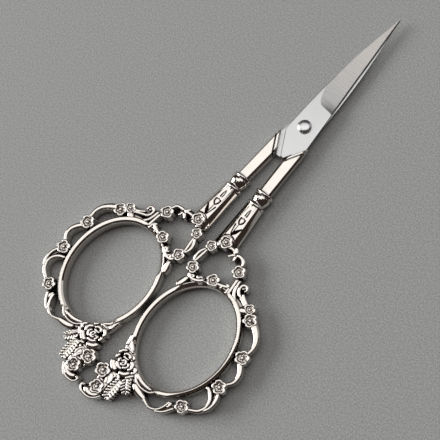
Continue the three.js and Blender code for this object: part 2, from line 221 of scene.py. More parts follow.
def boolean(mesh, other, operation):
    """The mesh joined with, or cut by, another closed mesh. Both are used up."""
    base = bpy.data.objects.new("base", mesh)
    tool = bpy.data.objects.new("tool", other)
    for item in (base, tool):
        bpy.context.scene.collection.objects.link(item)
    step = base.modifiers.new("step", "BOOLEAN")
    step.operation = operation
    step.solver = "MANIFOLD"
    step.object = tool
    graph = bpy.context.evaluated_depsgraph_get()
    made = bpy.data.meshes.new_from_object(base.evaluated_get(graph), depsgraph=graph)
    for item in (base, tool):
        bpy.data.objects.remove(item)
    for used in (mesh, other):
        bpy.data.meshes.remove(used)
    return made


def joined(meshes):
    """One closed mesh from overlapping closed meshes, joined two by two."""
    while len(meshes) > 1:
        pairs = [boolean(a, b, "UNION") for a, b in zip(meshes[::2], meshes[1::2])]
        meshes = pairs + meshes[len(pairs) * 2:]
    return meshes[0]


def finished(mesh, name, sharp=SHARP_ANGLE):
    """The mesh in metres in the part's frame, smooth up to its sharp edges."""
    mesh.name = name
    mesh.transform(Matrix.Translation((0, 0, MIDDLE)) @ Matrix.Scale(MM, 4))
    cut = bmesh.new()
    cut.from_mesh(mesh)
    bmesh.ops.triangulate(cut, faces=[face for face in cut.faces if len(face.verts) > 4])
    cut.to_mesh(mesh)
    cut.free()
    mesh.shade_smooth()
    mesh.set_sharp_from_angle(angle=sharp)
    return mesh


# Curves and strokes

def along(points, values, places):
    """Points and values at places along a smooth curve through the given points."""
    points = np.asarray(points, float)
    knots = np.concatenate([[0], np.cumsum(np.linalg.norm(np.diff(points, axis=0), axis=1))])
    slopes = np.gradient(points, knots, axis=0)
    places = np.asarray(places) * knots[-1]
    k = np.clip(np.searchsorted(knots, places, side="right") - 1, 0, len(knots) - 2)
    span = (knots[k + 1] - knots[k])[:, None]
    t = ((places - knots[k])[:, None]) / span
    here = (2 * t**3 - 3 * t**2 + 1) * points[k] + (t**3 - 2 * t**2 + t) * span * slopes[k]
    there = (3 * t**2 - 2 * t**3) * points[k + 1] + (t**3 - t**2) * span * slopes[k + 1]
    return here + there, np.interp(places, knots, values)


def squared(angles, fullness):
    """Points round a unit ellipse that turns squarer as its fullness rises above 2."""
    c, s = np.cos(angles), np.sin(angles)
    return np.sign(c) * np.abs(c) ** (2 / fullness), np.sign(s) * np.abs(s) ** (2 / fullness)


def circle(x, y, radius, z, sides):
    """Points round a level circle."""
    angles = np.linspace(0, 2 * math.pi, sides, endpoint=False)
    return np.stack([x + radius * np.cos(angles), y + radius * np.sin(angles), np.full(sides, z)], 1)


def crowned():
    """A stroke's section: places across, the face each is on, and how far it sinks below that face."""
    sunk = STROKE_CROWN * np.abs(STROKE_SPREAD) ** STROKE_CROWN_POWER
    across = np.concatenate([STROKE_SPREAD, STROKE_SPREAD[::-1]])
    face = np.repeat((1, -1), len(STROKE_SPREAD))
    return across, face, np.concatenate([sunk, -sunk[::-1]])


def lozenge():
    """A groove's section: places across, their height, and no sinking."""
    angles = np.linspace(0, 2 * math.pi, GROOVE_SIDES, endpoint=False)
    across, up = squared(angles, GROOVE_FULLNESS)
    return across, up, np.zeros(GROOVE_SIDES)


def stroke(points, widths, drop, section=None, lift=0.0):
    """A cast twig through the whole thickness, round at both ends and crowned unless told otherwise."""
    widths = [widths] * len(points) if np.isscalar(widths) else widths
    length = np.linalg.norm(np.diff(np.asarray(points, float), axis=0), axis=1).sum()
    start = min(widths[0] / 2, CAP_LIMIT * length)
    end = min(widths[-1] / 2, CAP_LIMIT * length)
    turns = np.linspace(CAP_START, 1, CAP_STEPS) * math.pi / 2
    first = start * (1 - np.cos(turns))
    last = length - end * (1 - np.cos(turns[::-1]))
    between = np.linspace(start, length - end, max(3, int(length / STROKE_STEP)))[1:-1]
    places = np.concatenate([first, between, last]) / length
    rounding = np.concatenate([np.sin(turns), np.ones(len(between)), np.sin(turns[::-1])])
    centres, across = along(points, widths, places)
    tangents = np.gradient(centres, axis=0)
    tangents /= np.linalg.norm(tangents, axis=1)[:, None]
    side, up, sunk = section or crowned()
    rings = []
    for (x, y), (tx, ty), width, share in zip(centres, tangents, across, rounding):
        half = width / 2 * share
        height = HALF - drop - width * CAP_SINK * (1 - share)
        level = lift + up * height - sunk * half
        rings.append(np.stack([x + ty * side * half, y - tx * side * half, level], 1))
    return skin(rings, "stroke")


# Pellets: place, radius and depth below the face
BEADS = ((16.5, -42.8, 0.45, TWIG_DROP), (4.7, -50.5, 0.3, 0.7), (1.35, -87.1, 0.5, TWIG_DROP))
BEAD_SHARES = np.sin(np.linspace(0.12, 0.5, 6) * math.pi)
BEAD_SIDES = 20


def bead(x, y, radius, drop):
    """A round pellet through the whole thickness."""
    top = HALF - drop
    levels = [(s, top - radius + radius * math.sqrt(1 - s * s)) for s in BEAD_SHARES]
    levels = levels + [(s, -z) for s, z in reversed(levels)]
    return skin([circle(x, y, radius * s, z, BEAD_SIDES) for s, z in levels], "bead")


# Blossoms

PETALS = 5
PETAL_REACH = 1.07
PETAL_NOTCH = 0.24
PETAL_ROUND = 0.6
PETAL_CUT = 0.1
PETAL_CUT_START = 0.45
PETAL_CUT_RUN = 0.3
BLOSSOM_SIDES = 70
BLOSSOM_WAIST = 1.03
BLOSSOM_RADIUS = 1.85

# Shares of the outline at which a blossom is sampled, and its depth there for a radius of BLOSSOM_RADIUS
BLOSSOM_SHARES = (
    0.06, 0.14, 0.19, 0.24, 0.28, 0.32, 0.4, 0.5, 0.55, 0.6, 0.65, 0.7, 0.74, 0.8, 0.88, 0.92, 0.96, 1,
)
BLOSSOM_PROFILE = (
    (0, 0.08), (0.14, 0.08), (0.19, 0.2), (0.28, 0.42), (0.32, 0.45), (0.5, 0.45), (0.55, 0.4),
    (0.65, 0.1), (0.7, 0.02), (0.74, 0), (0.88, 0), (0.92, 0.03), (0.96, 0.12), (1, 0.35),
)
STAMENS = 5
STAMEN_RELIEF = 0.1
STAMEN_PLACE = 0.28
STAMEN_SPREAD = 0.07


def blossom(x, y, radius, turn):
    """A five-petalled blossom: turned-up petal rims round a well with a boss of stamens."""
    angles = np.linspace(0, 2 * math.pi, BLOSSOM_SIDES, endpoint=False) - math.radians(turn)
    gap = np.abs((angles * PETALS / (2 * math.pi) + 0.5) % 1 - 0.5) * 2 * math.pi / PETALS
    cleft = 1 - np.sin(gap * PETALS / 2) ** PETAL_ROUND
    outline = radius * PETAL_REACH * (1 - PETAL_NOTCH * cleft)
    scale = radius / BLOSSOM_RADIUS
    levels = []
    for share in BLOSSOM_SHARES:
        depth = np.interp(share, *zip(*BLOSSOM_PROFILE))
        split = PETAL_CUT * cleft * np.clip((share - PETAL_CUT_START) / PETAL_CUT_RUN, 0, 1)
        nearness = math.exp(-((share - STAMEN_PLACE) / STAMEN_SPREAD) ** 2)
        stamen = -STAMEN_RELIEF * np.cos(STAMENS * angles) * nearness
        levels.append((share, HALF - scale * (depth + split - stamen)))
    face = levels + [(BLOSSOM_WAIST, np.zeros(BLOSSOM_SIDES))]
    rings = face + [(share, -height) for share, height in reversed(levels)]
    plan = angles + math.radians(turn) * 2
    return skin([
        np.stack([
            x + outline * share * np.cos(plan),
            y + outline * share * np.sin(plan),
            np.broadcast_to(height, BLOSSOM_SIDES),
        ], 1)
        for share, height in rings
    ], "blossom")


# Places of the blossoms, their radius and how far each is turned
BLOSSOMS = (
    (4.9, -36.6, 1.85, 90), (2.6, -39.7, 1.5, 60), (2.55, -46.9, 1.7, 100), (8.95, -46.15, 1.75, 75),
    (12.65, -40.4, 1.8, 50), (21.1, -45.8, 1.5, 30), (23.0, -47.8, 1.85, 95), (27.6, -56.0, 1.9, 70),
    (28.0, -65.1, 1.9, 85), (24.1, -74.7, 1.8, 60), (2.6, -81.3, 2.05, 100), (4.25, -85.4, 1.95, 80),
)

# Twigs and leaves of the wreath between shank and ring: points, then the width at each
WREATH = (
    (((4.2, -37.6), (3.3, -38.6)), 1.4),
    (((6.5, -36.9), (8.3, -37.0), (9.2, -37.4)), (0.7, 0.85, 0.95)),
    (((8.0, -35.9), (8.6, -36.6), (9.2, -37.4)), (0.5, 0.8, 0.95)),
    (((7.8, -39.0), (8.4, -38.2), (9.1, -37.5)), (0.5, 0.8, 0.95)),
    (((9.7, -39.2), (9.5, -38.4), (9.3, -37.5)), (0.5, 0.75, 0.95)),
    (((9.2, -37.3), (10.5, -37.2), (11.8, -37.6), (12.4, -39.0)), (0.95, 0.9, 0.8, 0.65)),
    (((2.0, -41.0), (1.3, -42.4), (1.1, -43.9), (1.6, -45.6)), (0.5, 0.85, 0.85, 0.5)),
    (((2.4, -41.0), (2.25, -42.5), (2.05, -44.1), (1.9, -45.6)), (0.5, 0.85, 0.8, 0.5)),
    (((2.9, -48.3), (3.2, -49.0), (4.3, -49.3), (5.8, -48.8), (7.2, -47.6)), (0.7, 0.9, 0.9, 0.9, 0.9)),
    (((3.5, -49.0), (4.1, -48.4), (4.7, -48.9)), 0.5),
    (((4.9, -47.8), (5.6, -48.2), (6.0, -47.5), (6.7, -47.6)), (0.45, 0.6, 0.55, 0.5)),
    (((3.3, -49.5), (3.1, -50.7), (2.75, -52.0), (2.3, -53.2)), (0.9, 1.5, 1.5, 0.9)),
    (((10.2, -46.2), (12.2, -45.5), (13.3, -44.9)), (0.7, 0.95, 0.7)),
    (((11.6, -45.2), (11.8, -46.7)), (0.6, 0.5)),
    (((13.4, -44.9), (13.6, -46.8)), 0.6),
    (((12.3, -44.5), (13.5, -45.0)), (0.5, 0.7)),
    (((13.6, -41.8), (13.9, -44.0), (14.2, -46.5)), 0.9),
    (((14.4, -41.7), (14.7, -43.5), (15.2, -45.0), (16.3, -46.3), (17.7, -47.2)),
     (0.7, 0.85, 0.85, 0.85, 0.8)),
    (((17.2, -43.3), (17.3, -42.4), (16.6, -41.9), (15.8, -42.2), (15.6, -43.2), (16.2, -44.4), (17.6, -45.0),
      (19.9, -46.0)), (0.4, 0.6, 0.7, 0.75, 0.75, 0.75, 0.75, 0.8)),
    (((17.2, -43.9), (18.2, -44.6), (19.9, -45.5)), (0.5, 0.65, 0.7)),
    (((14.8, -46.1), (16.3, -46.8), (18.2, -47.2)), (0.8, 1.2, 0.9)),
    (((20.8, -46.4), (19.4, -47.4), (18.6, -47.4)), (1.8, 1.8, 1.2)),
    (((22.6, -48.4), (21.6, -49.0)), (1.8, 1.4)),
)

# Scallops along the outer side
SCALLOPS = (
    (((23.6, -47.7), (24.6, -48.2), (26.1, -49.2), (27.4, -50.6), (28.1, -52.3), (28.0, -54.8)),
     (1.6, 1.6, 1.5, 1.2, 1.0, 0.8)),
    (((27.6, -57.0), (28.3, -57.6), (29.3, -58.8), (30.0, -60.3), (30.0, -61.8), (28.6, -64.0)),
     (1.2, 1.3, 1.25, 1.1, 0.9, 0.75)),
    (((25.5, -66.9), (27.4, -67.8), (28.5, -69.2), (28.75, -70.6), (28.2, -72.4), (25.4, -74.5)),
     (0.8, 0.85, 0.75, 0.8, 1.0, 0.8)),
    (((28.6, -66.0), (29.5, -67.7), (29.7, -69.4), (29.3, -71.2), (28.7, -72.2)), (0.7, 0.8, 0.8, 0.75, 0.6)),
    (((21.05, -75.7), (20.95, -76.6), (20.55, -78.0), (19.6, -79.5), (18.5, -80.15), (17.2, -80.4)),
     (0.6, 0.65, 0.65, 0.65, 0.65, 0.5)),
    (((22.9, -76.3), (22.5, -77.0), (21.8, -78.2), (20.7, -79.35), (19.6, -79.95)),
     (0.7, 0.65, 0.65, 0.6, 0.45)),
    (((21.3, -75.6), (21.6, -76.4), (21.4, -77.4)), (0.7, 0.8, 0.5)),
)

# Leaves that wrap the lower end of the ring
RING_LEAVES = (
    (((9.4, -75.9), (10.3, -76.95), (11.2, -77.7), (12.5, -78.1), (14.0, -78.1), (15.8, -77.5),
      (16.7, -76.4)), (0.5, 0.5, 0.5, 0.5, 0.5, 0.5, 0.45)),
    (((9.9, -76.1), (11.2, -76.65), (12.6, -77.0), (14.4, -77.05), (15.7, -76.9)),
     (0.6, 1.0, 1.15, 1.0, 0.5)),
    (((11.0, -78.4), (12.2, -79.0), (13.5, -79.35), (14.9, -79.55), (15.9, -79.7)),
     (0.9, 1.6, 1.7, 1.3, 0.6)),
    (((15.2, -79.6), (16.6, -80.1), (17.6, -80.35)), (0.8, 0.6, 0.55)),
)

# Low plates behind the relief: points, then the width at each
BASES = (
    (((7.0, -46.9), (6.0, -48.2), (3.6, -49.6), (3.2, -51.8)), (1.4, 1.6, 1.5, 1.4)),
    (((10.3, -46.3), (13.6, -46.4), (16.6, -46.2), (20.2, -47.2)), (1.4, 1.6, 1.8, 2.0)),
    (((28.2, -66.6), (29.1, -68.4), (29.2, -70.4), (28.4, -72.4)), (1.0, 1.1, 1.0, 0.8)),
    (((22.0, -75.4), (21.7, -77.2), (20.4, -78.8), (18.6, -79.8)), (1.8, 1.5, 1.0, 0.8)),
    (((9.0, -76.4), (12.0, -77.4), (15.4, -77.2)), (2.6, 2.2, 1.0)),
    (((9.5, -77.6), (13.6, -79.0)), (1.6, 1.0)),
    (((3.0, -80.6), (3.6, -83.2), (4.2, -86.6)), (3.0, 3.2, 3.0)),
)
BOUQUET_BASES = (
    (((2.9, -70.4), (3.7, -72.4), (5.2, -75.0)), (1.4, 2.4, 4.2)),
    (((5.4, -75.4), (5.4, -77.4)), (5.4, 5.2)),
    (((5.6, -79.0), (5.4, -82.0), (5.6, -85.0), (5.2, -86.4)), (3.4, 3.2, 2.4, 2.0)),
    (((8.2, -79.6), (8.0, -83.0), (7.8, -85.6)), (2.2, 1.8, 1.0)),
    (((8.9, -77.8), (10.2, -79.8), (10.9, -81.2)), (2.2, 1.9, 1.2)),
)

# Petals of the rose, and the leaves of the tail bouquet
ROSE = (
    (((4.3, -75.0), (4.6, -74.35), (5.3, -74.15), (6.1, -74.5), (6.2, -75.0)), 0.5),
    (((4.4, -75.15), (5.3, -75.35), (6.2, -75.15)), (0.3, 0.45, 0.3)),
    (((3.1, -75.4), (3.1, -74.6), (3.7, -73.95), (4.4, -73.7)), (0.5, 0.6, 0.6, 0.5)),
    (((3.4, -75.4), (3.1, -76.1), (3.3, -76.9)), 0.55),
    (((3.0, -77.3), (3.3, -78.3), (4.3, -79.0), (5.5, -79.3)), (0.7, 1.0, 1.0, 0.7)),
    (((3.9, -77.1), (4.5, -77.8), (5.4, -78.15), (6.3, -77.95)), (0.5, 0.6, 0.6, 0.5)),
    (((6.0, -79.0), (7.2, -78.8), (8.1, -78.0), (8.3, -77.2)), (0.7, 0.9, 0.85, 0.6)),
    (((6.8, -74.9), (7.8, -75.5), (8.05, -76.4), (7.6, -77.3)), (0.5, 0.65, 0.65, 0.5)),
    (((6.5, -75.7), (7.05, -76.4), (6.8, -77.2), (6.0, -77.6)), 0.45),
    (((4.3, -75.9), (4.1, -76.5), (4.5, -77.2)), 0.4),
    (((5.0, -76.1), (5.6, -75.8), (6.1, -76.2), (6.0, -76.9), (5.4, -77.2), (4.9, -76.8)), 0.38),
    (((5.35, -76.3), (5.55, -76.75)), 0.36),
    (((8.5, -75.5), (9.3, -75.9), (9.4, -76.7), (8.7, -77.2)), (0.5, 0.6, 0.6, 0.45)),
)

TAIL_LEAVES = (
    (((2.5, -69.6), (2.9, -71.2), (3.1, -72.9)), (0.9, 1.0, 0.8)),
    (((3.6, -70.4), (3.9, -71.6), (4.6, -72.2), (5.5, -73.0)), (0.6, 0.7, 0.75, 0.5)),
    (((3.5, -73.0), (4.6, -73.05), (5.9, -73.2)), 0.5),
    (((6.3, -73.5), (7.3, -74.4)), (0.5, 0.6)),
    (((8.4, -79.0), (9.2, -78.0), (9.9, -77.2)), (0.6, 0.8, 0.6)),
    (((4.9, -80.3), (5.6, -81.0), (6.1, -82.0), (6.0, -83.0)), (0.5, 0.6, 0.6, 0.4)),
    (((4.6, -81.8), (5.0, -82.6), (5.5, -83.4)), (0.5, 0.65, 0.5)),
    (((3.4, -83.1), (4.1, -83.3), (4.7, -83.2)), (0.4, 0.5, 0.4)),
    (((5.8, -79.7), (6.8, -79.9), (7.4, -80.5)), (0.5, 0.7, 0.5)),
)

# Crescent scroll under the bouquet
SCROLL = (
    (((0.95, -86.8), (0.95, -87.8), (1.45, -88.45), (2.8, -88.85), (4.5, -88.65), (6.0, -87.5), (6.7, -86.4)),
     (0.5, 0.5, 0.5, 0.55, 0.55, 0.5, 0.4)),
    (((2.0, -87.0), (2.5, -87.6), (3.7, -87.9), (5.2, -87.35), (6.1, -86.1)), (1.1, 1.4, 1.4, 1.2, 0.6)),
)

# Serrated leaves: stalk, tip, half width and number of lobes on each side
SERRATED = (
    ((7.9, -80.1), (7.9, -86.4), 1.5, 7),
    ((8.8, -78.9), (11.4, -82.1), 1.35, 5),
)
MIDRIB_DROP = LEAF_DROP + 0.3
MIDRIB_WIDTHS = (0.6, 0.7, 0.5)
LOBE_GAP = 0.12

# Places, lean and widths of the lobes, in shares of the gap between them
LOBE_START = 0.3
LOBE_ROOM = 0.6
LOBE_SWELL_START = 0.8
LOBE_MIDDLE_LEAN = 0.3
LOBE_END_LEAN = 0.8
LOBE_WIDTHS = (0.7, 0.92, 0.8)

# Reach of the lobes, in shares of the leaf's half width, and the share of it where a lobe bends
LOBE_REACH = 0.62
LOBE_SWELL = 0.38
LOBE_BEND = 0.55


def serrated(stalk, tip, half_width, lobes):
    """Slanting round lobes on both sides of a sunken midrib, longest in the middle of the leaf."""
    stalk, tip = np.array(stalk), np.array(tip)
    forward = (tip - stalk) / np.linalg.norm(tip - stalk)
    aside = np.array([-forward[1], forward[0]])
    count = lobes + LOBE_ROOM
    gap = np.linalg.norm(tip - stalk) / count
    widths = [gap * share for share in LOBE_WIDTHS]
    made = [stroke((stalk, (stalk + tip) / 2, tip), MIDRIB_WIDTHS, MIDRIB_DROP)]
    for i in range(lobes):
        root = stalk + forward * gap * (i + LOBE_START)
        swell = math.sin(math.pi * (i + LOBE_SWELL_START) / count)
        reach = half_width * (LOBE_REACH + LOBE_SWELL * swell)
        for side in (aside, -aside):
            near = root + side * LOBE_GAP
            middle = root + side * reach * LOBE_BEND + forward * gap * LOBE_MIDDLE_LEAN
            end = root + side * reach + forward * gap * LOBE_END_LEAN
            made.append(stroke((near, middle, end), widths, LEAF_DROP))
    return made


# Shank, collar and socket

def heel_y(distance, x):
    """Height of the slanted shoulder line at x, at a distance from the pivot."""
    return (math.sin(SHOULDER_SLANT) * x - distance) / math.cos(SHOULDER_SLANT)


SHOULDER_Y = heel_y(SHOULDER_DISTANCE, SHANK_OFFSET)
COLLAR_Y = SHOULDER_Y - SHANK_LENGTH
SOCKET_Y = COLLAR_Y - COLLAR_LENGTH
SOCKET_END_Y = SOCKET_Y - SOCKET_LENGTH


def shank_x(y):
    """The middle of the shank and the collar at a height y."""
    return SHANK_OFFSET + SHANK_SPREAD * (SHOULDER_Y - y)


SOCKET_X = shank_x(SOCKET_Y)
SOCKET_END_X = SOCKET_X + SOCKET_SPREAD * SOCKET_LENGTH


def rounded(corners, radius):
    """A closed outline with each corner turned into a short curve."""
    corners = np.asarray(corners, float)
    made = []
    for i, corner in enumerate(corners):
        ends = []
        for other in (corners[i - 1], corners[(i + 1) % len(corners)]):
            side = other - corner
            length = np.linalg.norm(side)
            ends.append(corner + side / length * min(radius, CORNER_LIMIT * length))
        for t in np.linspace(0, 1, CORNER_STEPS):
            made.append((1 - t) ** 2 * ends[0] + 2 * t * (1 - t) * corner + t**2 * ends[1])
    return np.array(made)


def bar_section(x, y, width, height, chamfer, rise, slope=0.0, radius=BAR_EDGE_RADIUS):
    """A bar's section with chamfered corners, on a plane that may slant across the bar."""
    half = width / 2
    side = height - rise
    outline = rounded([
        (half, -side), (half, side), (half - chamfer, height), (chamfer - half, height),
        (-half, side), (-half, -side), (chamfer - half, -height), (half - chamfer, -height),
    ], radius)
    return [(x + across, y + across * slope, up) for across, up in outline]


# Shoulder: distance from the heel line, share of the rise from the blade to the bar's flat, and width lost
SHOULDER_PROFILE = (
    (0, 0.1, 0.34), (0.05, 0.55, 0.28), (0.12, 0.66, 0.22), (0.5, 0.68, 0.08), (0.58, 0.5, 0.12),
    (0.68, -0.1, 0.3), (0.76, -0.1, 0.3), (0.94, 0.92, 0.05), (1.02, 1.0, 0.0),
)


def shank():
    """The slim bar, with a lip and a groove where it rises from the blade."""
    slope = math.tan(SHOULDER_SLANT)
    chamfer = (SHANK_CHAMFER, SHANK_CHAMFER_RISE)
    rings = []
    for offset, share, lost in SHOULDER_PROFILE:
        height = BLADE_TOP + (SHANK_HALF - BLADE_TOP) * share
        y = SHOULDER_Y - offset / math.cos(SHOULDER_SLANT)
        rings.append(bar_section(shank_x(y), y, SHANK_WIDTH - lost, height, *chamfer, slope))
    end = COLLAR_Y - COLLAR_OVERLAP
    rings.append(bar_section(shank_x(end), end, SHANK_WIDTH, SHANK_HALF, *chamfer))
    return skin(rings, "shank")


# Collar: share of the full height at each share of its length
COLLAR_PROFILE = (
    (0.0, 0.88), (0.03, 0.97), (0.08, 1.0), (0.13, 0.985), (0.18, 0.92), (0.21, 0.86), (0.24, 0.9),
    (0.34, 0.93), (0.46, 0.905), (0.58, 0.835), (0.68, 0.765), (0.735, 0.745), (0.77, 0.785), (0.81, 0.91),
    (0.86, 0.985), (0.91, 1.0), (0.96, 0.95), (1.0, 0.86),
)


def collar():
    """The collar between the two bars: a bead, a bell that narrows to a neck, and a second bead."""
    shares = np.linspace(0, 1, COLLAR_RINGS)
    radii = HALF * np.interp(shares, *zip(*COLLAR_PROFILE))
    angles = np.linspace(0, 2 * math.pi, COLLAR_SIDES, endpoint=False)
    across, up = squared(angles, COLLAR_FULLNESS)
    rings = []
    for share, radius in zip(shares, radii):
        y = COLLAR_Y - share * COLLAR_LENGTH
        x = shank_x(y) + radius * COLLAR_BREADTH * across
        rings.append(np.stack([x, np.full(COLLAR_SIDES, y), radius * up], 1))
    return skin(rings, "collar")


def socket():
    """The wider bar that flares from the collar to the wreath, with broad chamfers and a low end."""
    run_x = SOCKET_END_X - SOCKET_SPREAD * SOCKET_END_RUN
    run_width = SOCKET_END_WIDTH + (SOCKET_TOP_WIDTH - SOCKET_END_WIDTH) * SOCKET_END_RUN / SOCKET_LENGTH
    top = SOCKET_Y + COLLAR_OVERLAP
    places = (
        (SOCKET_X, top, SOCKET_TOP_WIDTH, SOCKET_HALF),
        (run_x, SOCKET_END_Y + SOCKET_END_RUN, run_width, SOCKET_HALF),
        (SOCKET_END_X, SOCKET_END_Y, SOCKET_END_WIDTH, SOCKET_HALF - SOCKET_END_DROP),
    )
    rings = []
    for x, y, width, height in places:
        chamfer = (width * SOCKET_CHAMFER_SHARE, SOCKET_CHAMFER_RISE)
        rings.append(bar_section(x, y, width, height, *chamfer, radius=SOCKET_EDGE_RADIUS))
    return skin(rings, "socket")


# Bud engraved in the socket: points, then the width of the groove at each
ENGRAVED = (
    (((4.05, -28.4), (4.0, -27.2), (4.25, -26.1), (4.5, -27.2), (4.55, -28.5)),
     (0.2, 0.16, 0.14, 0.2, 0.28)),
    (((3.6, -29.0), (3.75, -30.2), (4.3, -30.9), (4.9, -30.3), (5.0, -29.0)), (0.25, 0.3, 0.25, 0.3, 0.25)),
    (((3.6, -29.0), (4.1, -29.3), (4.4, -28.9), (4.7, -29.3), (5.0, -29.0)), 0.16),
    (((4.35, -31.1), (4.4, -32.6), (4.5, -34.4)), (0.14, 0.16, 0.2)),
    (((3.5, -31.2), (3.8, -32.6), (4.3, -34.3)), (0.3, 0.2, 0.18)),
    (((4.6, -34.4), (5.0, -33.2), (5.9, -31.4)), (0.2, 0.62, 0.2)),
)
ENGRAVED_BREADTH = 1.7
ENGRAVED_DEPTH = 0.8

# Groove round the blossom at the end of the socket, with its angles in degrees
MOAT_REACH = 0.28
MOAT_WIDTH = 0.2
MOAT_ANGLES = range(5, 176, 17)


def grooves():
    """Cutters for the engraving on both faces: strokes whose rounded edge dips into the face."""
    made = []
    x, y, radius = BLOSSOMS[0][:3]
    around = np.radians(MOAT_ANGLES)
    reach = radius + MOAT_REACH
    moat = np.stack([x + reach * np.cos(around), y + reach * np.sin(around)], 1)
    for points, widths in (*ENGRAVED, (moat, MOAT_WIDTH)):
        widths = np.broadcast_to(widths, len(points)) * ENGRAVED_BREADTH
        depth = max(widths) * ENGRAVED_DEPTH
        for face in (1, -1):
            made.append(stroke(points, widths, HALF - depth, lozenge(), face * SOCKET_HALF))
    return made


# Finger ring

def ring_low(angle):
    """How far the ring's face gives way, from 0 to 1, where leaves and blossoms cover it."""
    degrees = math.degrees(angle) % 360
    shares = [
        min(max((degrees - low) / RING_LOW_RUN, 0), 1) * min(max((high - degrees) / RING_LOW_RUN, 0), 1)
        for low, high in RING_COVERED
    ]
    return max(shares)


# Edge of the ring's band: shares of the bevel's width, and drop below the face in the same measure
RING_EDGE = ((0, 0), (0.06, 0.015), (0.15, 0.09), (0.75, 0.6), (0.9, 0.8), (1, 1.1))


def ring_section(worn, low):
    """The band's outline, its front worn down towards the outside if asked: distance out, and height."""
    share, drop = np.array(RING_EDGE).T
    lost_flat = low * (RING_FLAT_IN + RING_FLAT_OUT - RING_COVERED_FLAT)
    inner_bevel = RING_INNER_BEVEL + lost_flat
    outer = RING_FLAT_OUT + RING_OUTER_BEVEL * share
    inner = lost_flat - RING_FLAT_IN - inner_bevel * share
    out = np.concatenate([outer[::-1], inner])
    rise = HALF - RING_DROP - RING_LOW_DROP * low
    rise = rise - np.concatenate([RING_OUTER_BEVEL * drop[::-1], inner_bevel * drop])
    lost = worn * RING_WORN_SLOPE * np.clip(out - RING_WORN_START, 0, None)
    front = np.stack([out, rise - lost], 1)
    back = np.stack([out, -rise], 1)[::-1]
    return np.concatenate([front, back])


def ring():
    """The oval band, worn on its outer side and lower where leaves and blossoms cover it."""
    rings = []
    for angle in np.linspace(0, 2 * math.pi, RING_STEPS, endpoint=False):
        c, s = math.cos(angle), math.sin(angle)
        worn = min(max((c - RING_WORN_FROM) / RING_WORN_RUN, 0), 1)
        outline = ring_section(worn, ring_low(angle))
        normal = np.array([c / RING_HALF_WIDTH, s / RING_HALF_LENGTH])
        normal /= np.linalg.norm(normal)
        x, y = RING_X + RING_HALF_WIDTH * c, RING_Y + RING_HALF_LENGTH * s
        rings.append([(x + normal[0] * out, y + normal[1] * out, up) for out, up in outline])
    return skin(rings, "ring", looped=True)


# Tang and blade

def tang(grown):
    """The tang cast into the shank, or the pocket around it when it is grown by a clearance."""
    top = SHOULDER_Y + TANG_WIDTH
    end = SHOULDER_Y - TANG_LENGTH - grown
    half = TANG_WIDTH / 2 + grown
    outline = [(shank_x(top) - half, top), (shank_x(end) - half, end), (shank_x(end) + half, end),
               (shank_x(top) + half, top)]
    return skin([[(x, y, z) for x, y in outline] for z in (BLADE_BOTTOM - grown, BLADE_TOP + grown)], "tang")


def arc(start, control, end, count):
    """Points on a quadratic curve, without its last point."""
    t = np.linspace(0, 1, count, endpoint=False)[:, None]
    start, control, end = (np.array(p, float) for p in (start, control, end))
    return (1 - t) ** 2 * start + 2 * t * (1 - t) * control + t**2 * end


EDGE_HEEL = (EDGE_OFFSET, heel_y(SHOULDER_DISTANCE - TANG_CLEARANCE, EDGE_OFFSET))
SPINE_HEEL = (-SPINE_OFFSET, heel_y(HEEL_RELIEF, SPINE_OFFSET))
TIP = (TIP_OFFSET, BLADE_REACH)
SPINE_CONTROL = ((TIP_OFFSET - SPINE_OFFSET) / 2 - SPINE_BELLY, BLADE_REACH / 2)


def heel_x(distance, y):
    """The slanted heel line's x at a height y, at a distance from the pivot."""
    return (distance + math.cos(SHOULDER_SLANT) * y) / math.sin(SHOULDER_SLANT)


def edge_x(y):
    """The cutting edge's x at a height y."""
    return np.interp(y, (EDGE_HEEL[1], TIP[1]), (EDGE_HEEL[0], TIP[0]))


def blade_plate():
    """The plate with slightly broken edges, before grinding."""
    heel = [
        SPINE_HEEL,
        (-heel_x(HEEL_RELIEF, -HEEL_END), -HEEL_END),
        (heel_x(SHOULDER_DISTANCE - TANG_CLEARANCE, -HEEL_END), -HEEL_END),
    ]
    outline = np.concatenate([
        heel, np.linspace(EDGE_HEEL, TIP, BLADE_STEPS)[:-1], arc(TIP, SPINE_CONTROL, SPINE_HEEL, BLADE_STEPS),
    ])
    before = outline - np.roll(outline, 1, 0)
    after = np.roll(outline, -1, 0) - outline
    before /= np.linalg.norm(before, axis=1)[:, None]
    after /= np.linalg.norm(after, axis=1)[:, None]
    inward = np.stack([-(before + after)[:, 1], (before + after)[:, 0]], 1)
    inward /= np.linalg.norm(inward, axis=1)[:, None]
    room = np.clip((BLADE_REACH - outline[:, 1]) / TIP_TAPER, 0, 1)
    cutting = outline[:, 0] > edge_x(outline[:, 1]) - BLADE_CHAMFER
    land = np.where(cutting, HONED_WIDTH, BLADE_CHAMFER) * room
    dip = np.where(cutting, HONED_DIP, BLADE_BREAK)
    top = np.full(len(outline), BLADE_TOP)
    return skin([
        np.column_stack([outline, np.full(len(outline), BLADE_BOTTOM)]),
        np.column_stack([outline, top - dip]),
        np.column_stack([outline + inward * land[:, None], top]),
    ], "blade")


# Samples of the ground face: depths behind the cutting edge, and heights, closer where the wheel enters
GRIND_OUTSIDE = (-1.2, -0.4)
GRIND_BREADTH = 9
GRIND_ENTRY_END = 13
GRIND_PAST_TIP = 2
GRIND_TOP = HALF + 4
GRIND_DEPTHS = np.concatenate([
    GRIND_OUTSIDE, np.linspace(0, HONED_WIDTH, 5), np.linspace(HONED_WIDTH, GRIND_BREADTH, 44)[1:],
])
GRIND_HEIGHTS = np.concatenate([
    np.linspace(GRIND_START - GRIND_LEAD, GRIND_ENTRY_END, 80),
    np.linspace(GRIND_ENTRY_END, BLADE_REACH + GRIND_PAST_TIP, 50)[1:],
])


